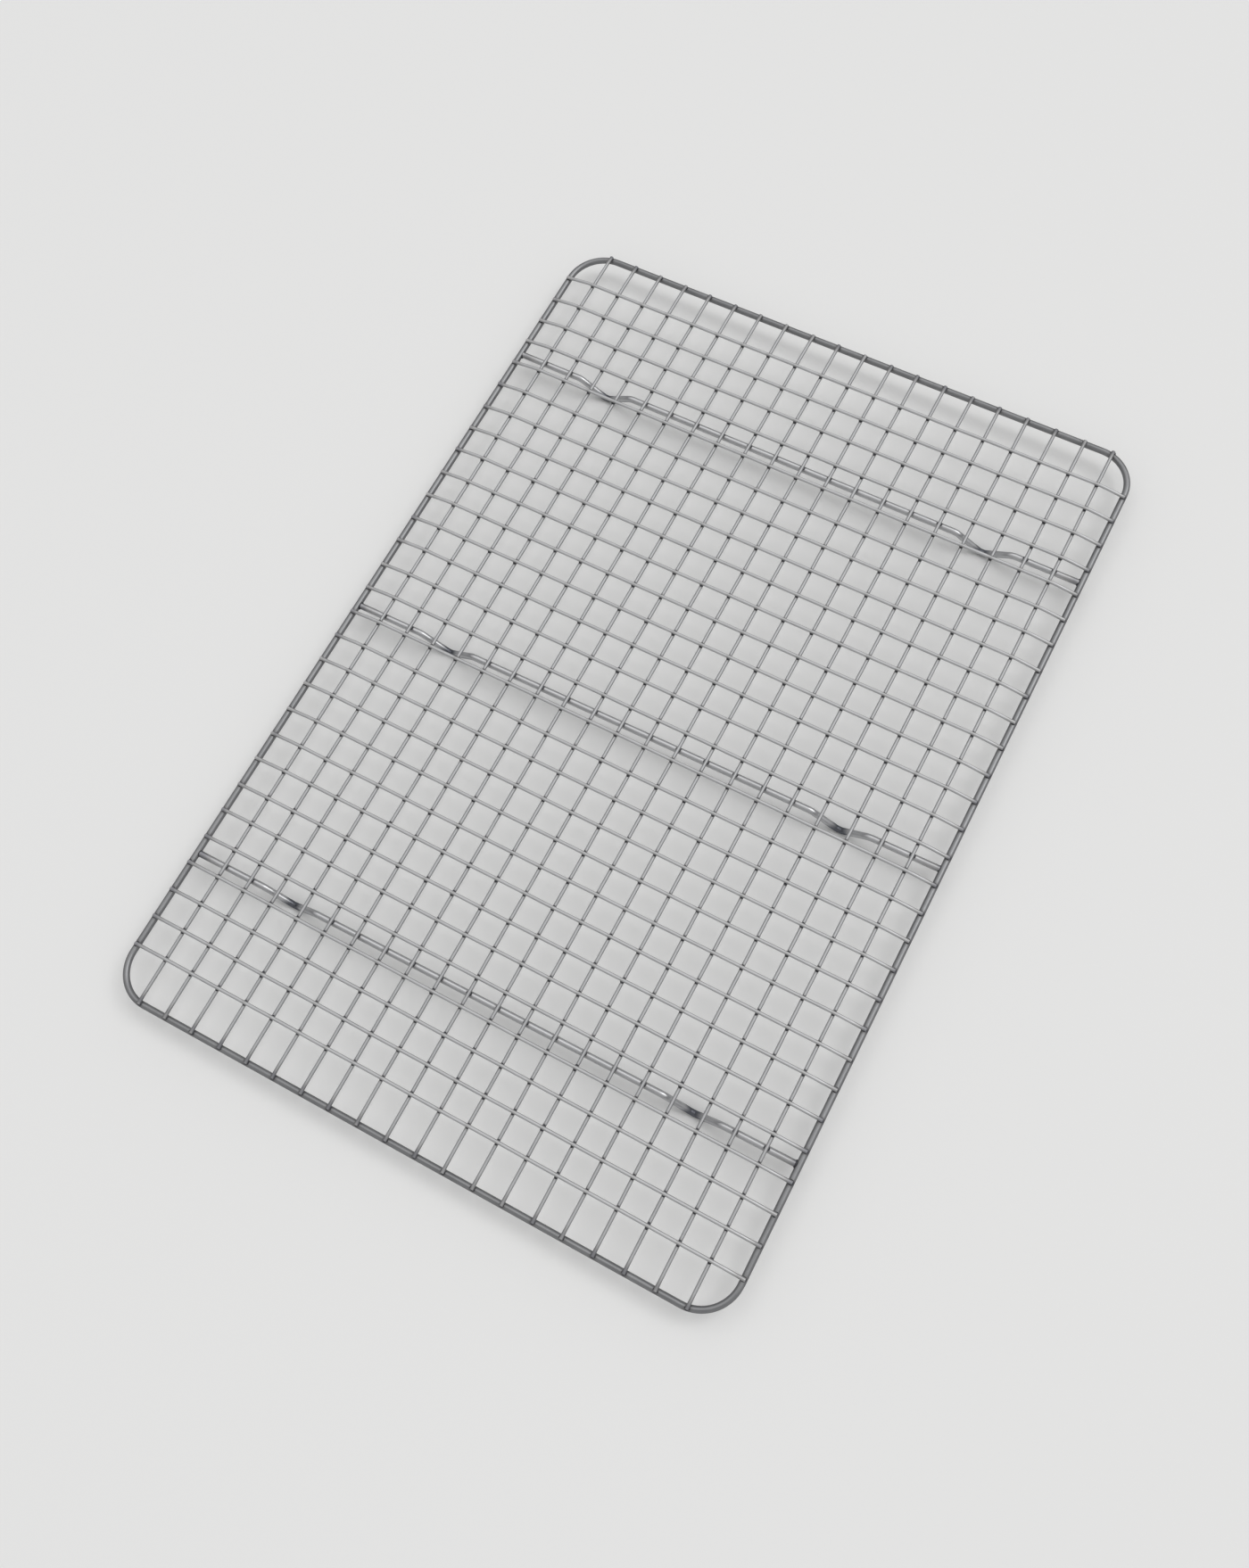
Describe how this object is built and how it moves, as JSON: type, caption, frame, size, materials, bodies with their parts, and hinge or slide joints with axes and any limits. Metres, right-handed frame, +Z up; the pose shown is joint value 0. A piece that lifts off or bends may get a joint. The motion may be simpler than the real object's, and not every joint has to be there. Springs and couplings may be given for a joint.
{
  "type": "cooling rack",
  "caption": "Flat rectangular wire rack with a fine square grid, a rounded thick-wire frame and cross bars bent into V feet, for cooling baked goods or lining a half-size sheet pan.",
  "frame": {"origin": "on the ground, under the centre of the rack", "axes": "+Z up, +Y along the long side towards the far end, +X across to the right"},
  "size_m": [0.301, 0.434, 0.0147],
  "materials": {
    "rod_steel": "drawn steel rod, semi-gloss, 3 mm",
    "wire_steel": "drawn steel wire, semi-gloss, 1.6 mm"
  },
  "bodies": {
    "root": {"rim_frame": "rod_steel", "support_bar_far": "rod_steel", "support_bar_middle": "rod_steel", "support_bar_near": "rod_steel", "lengthwise_wire_01": "wire_steel", "lengthwise_wire_02": "wire_steel", "lengthwise_wire_03": "wire_steel", "lengthwise_wire_04": "wire_steel", "lengthwise_wire_05": "wire_steel", "lengthwise_wire_06": "wire_steel", "lengthwise_wire_07": "wire_steel", "lengthwise_wire_08": "wire_steel", "lengthwise_wire_09": "wire_steel", "lengthwise_wire_10": "wire_steel", "lengthwise_wire_11": "wire_steel", "lengthwise_wire_12": "wire_steel", "lengthwise_wire_13": "wire_steel", "lengthwise_wire_14": "wire_steel", "lengthwise_wire_15": "wire_steel", "lengthwise_wire_16": "wire_steel", "lengthwise_wire_17": "wire_steel", "lengthwise_wire_18": "wire_steel", "lengthwise_wire_19": "wire_steel", "lengthwise_wire_20": "wire_steel", "crosswise_wire_01": "wire_steel", "crosswise_wire_02": "wire_steel", "crosswise_wire_03": "wire_steel", "crosswise_wire_04": "wire_steel", "crosswise_wire_05": "wire_steel", "crosswise_wire_06": "wire_steel", "crosswise_wire_07": "wire_steel", "crosswise_wire_08": "wire_steel", "crosswise_wire_09": "wire_steel", "crosswise_wire_10": "wire_steel", "crosswise_wire_11": "wire_steel", "crosswise_wire_12": "wire_steel", "crosswise_wire_13": "wire_steel", "crosswise_wire_14": "wire_steel", "crosswise_wire_15": "wire_steel", "crosswise_wire_16": "wire_steel", "crosswise_wire_17": "wire_steel", "crosswise_wire_18": "wire_steel", "crosswise_wire_19": "wire_steel", "crosswise_wire_20": "wire_steel", "crosswise_wire_21": "wire_steel", "crosswise_wire_22": "wire_steel", "crosswise_wire_23": "wire_steel", "crosswise_wire_24": "wire_steel", "crosswise_wire_25": "wire_steel", "crosswise_wire_26": "wire_steel", "crosswise_wire_27": "wire_steel", "crosswise_wire_28": "wire_steel", "crosswise_wire_29": "wire_steel"}
  },
  "joints": []
}
